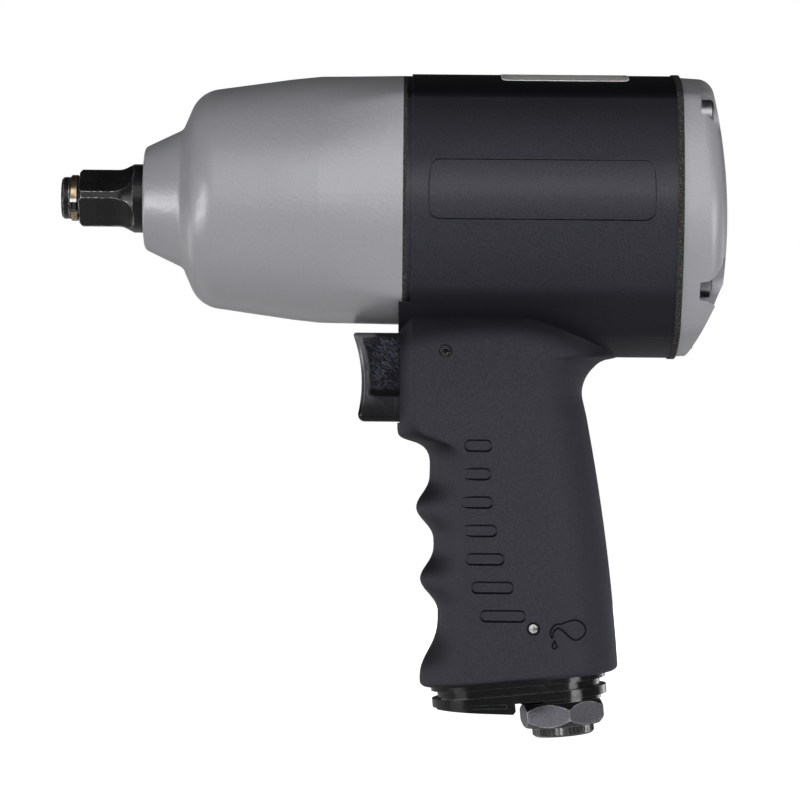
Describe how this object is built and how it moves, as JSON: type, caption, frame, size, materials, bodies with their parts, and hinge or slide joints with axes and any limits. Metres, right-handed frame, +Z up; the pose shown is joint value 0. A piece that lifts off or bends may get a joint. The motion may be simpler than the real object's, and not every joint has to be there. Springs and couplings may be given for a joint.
{
  "type": "air impact wrench",
  "caption": "Pistol-grip pneumatic impact wrench: grey cast hammer case and rear cover, black composite body, square drive, sliding trigger, threaded air inlet under the grip.",
  "frame": {"origin": "on the drive axis at the shoulder behind the square, where a socket seats", "axes": "+X forward out of the nose along the drive axis, +Y to the tool's left, +Z up away from the grip"},
  "size_m": [0.1888, 0.0722, 0.1886],
  "materials": {
    "composite": "fine moulded grain, slightly worn",
    "painted_casting": "grey paint with a fine orange peel over the casting",
    "gasket_fibre": "pressed fibre sheet, raw cut edge",
    "bronze": "turned",
    "black_steel": "black oxide, oiled",
    "bright_steel": "bright drawn",
    "machined_steel": "machined and hardened",
    "bearing_steel": "ground",
    "cylinder_iron": "bored and honed",
    "phosphate_steel": "dark phosphate, edges worn bright",
    "gloss_black": "moulded gloss with scuffs",
    "plug_plastic": "soft moulded plastic",
    "vane_laminate": "fabric laminate",
    "felt": "wool felt",
    "seal_rubber": "moulded rubber"
  },
  "bodies": {
    "housing": {"motor_housing": "composite", "hammer_case": "painted_casting", "case_gasket": "gasket_fibre", "anvil_bushing": "bronze", "rear_cover": "painted_casting", "rear_gasket": "gasket_fibre", "cover_screws": "black_steel", "front_end_plate": "machined_steel", "rear_end_plate": "machined_steel", "motor_cylinder": "cylinder_iron", "cylinder_dowel": "machined_steel", "front_bearing_outer": "bearing_steel", "rear_bearing_outer": "bearing_steel", "valve_bushing": "bronze", "valve_seal": "seal_rubber", "throttle_spring": "bearing_steel", "trigger_pin": "black_steel", "handle_pin": "bright_steel", "reverse_bushing": "bronze", "exhaust_deflector": "gloss_black", "muffler_felt": "felt", "inlet_washer": "gloss_black", "inlet_bushing": "phosphate_steel", "inlet_screen": "bright_steel"},
    "rotor": {"rotor": "machined_steel", "rotor_vanes": "vane_laminate", "hammer_frame": "machined_steel", "hammer_pins": "bearing_steel", "front_bearing_inner": "bearing_steel", "rear_bearing_inner": "bearing_steel"},
    "anvil": {"anvil": "black_steel", "friction_ring": "bronze", "friction_o_ring": "seal_rubber"},
    "front_hammer": {"front_hammer": "machined_steel"},
    "rear_hammer": {"rear_hammer": "machined_steel"},
    "front_bearing_cage": {"front_bearing_balls": "bearing_steel"},
    "rear_bearing_cage": {"rear_bearing_balls": "bearing_steel"},
    "trigger": {"trigger": "gloss_black", "trigger_rod": "bright_steel", "throttle_valve": "seal_rubber"},
    "reverse_valve": {"reverse_spool": "machined_steel", "reverse_knob": "gloss_black"},
    "dust_plug": {"dust_plug": "plug_plastic"}
  },
  "joints": [
    {"name": "rotor_spin", "type": "hinge", "parent": "housing", "child": "rotor", "pos_m": [-0.117, 0, 0], "axis": [1, 0, 0], "continuous": true},
    {"name": "drive_spin", "type": "hinge", "parent": "housing", "child": "anvil", "pos_m": [0, 0, 0], "axis": [1, 0, 0], "continuous": true},
    {"name": "front_hammer_swing", "type": "hinge", "parent": "rotor", "child": "front_hammer", "pos_m": [-0.039, 0, 0.02], "axis": [1, 0, 0], "range_deg": [-4, 4]},
    {"name": "rear_hammer_swing", "type": "hinge", "parent": "rotor", "child": "rear_hammer", "pos_m": [-0.054, 0, -0.02], "axis": [1, 0, 0], "range_deg": [-4, 4]},
    {"name": "front_cage_spin", "type": "hinge", "parent": "housing", "child": "front_bearing_cage", "pos_m": [-0.09, 0, 0], "axis": [1, 0, 0], "continuous": true},
    {"name": "rear_cage_spin", "type": "hinge", "parent": "housing", "child": "rear_bearing_cage", "pos_m": [-0.144, 0, 0], "axis": [1, 0, 0], "continuous": true},
    {"name": "trigger_pull", "type": "slide", "parent": "housing", "child": "trigger", "axis": [-1, 0, 0], "range_m": [0, 0.005], "stiffness_N_per_m": 800, "springref_m": -0.008, "deforming": ["throttle_spring"]},
    {"name": "reverse_turn", "type": "hinge", "parent": "housing", "child": "reverse_valve", "pos_m": [-0.157, 0, -0.0345], "axis": [1, 0, 0], "range_deg": [0, 60]},
    {"name": "dust_plug_pull", "type": "slide", "parent": "housing", "child": "dust_plug", "axis": [-0.0976, 0, -0.9952], "range_m": [0, 0.065]}
  ],
  "couplings": [
    {"joint": "drive_spin", "follows": "rotor_spin", "ratio": 1},
    {"joint": "front_cage_spin", "follows": "rotor_spin", "ratio": 0.4},
    {"joint": "rear_cage_spin", "follows": "rotor_spin", "ratio": 0.4}
  ]
}
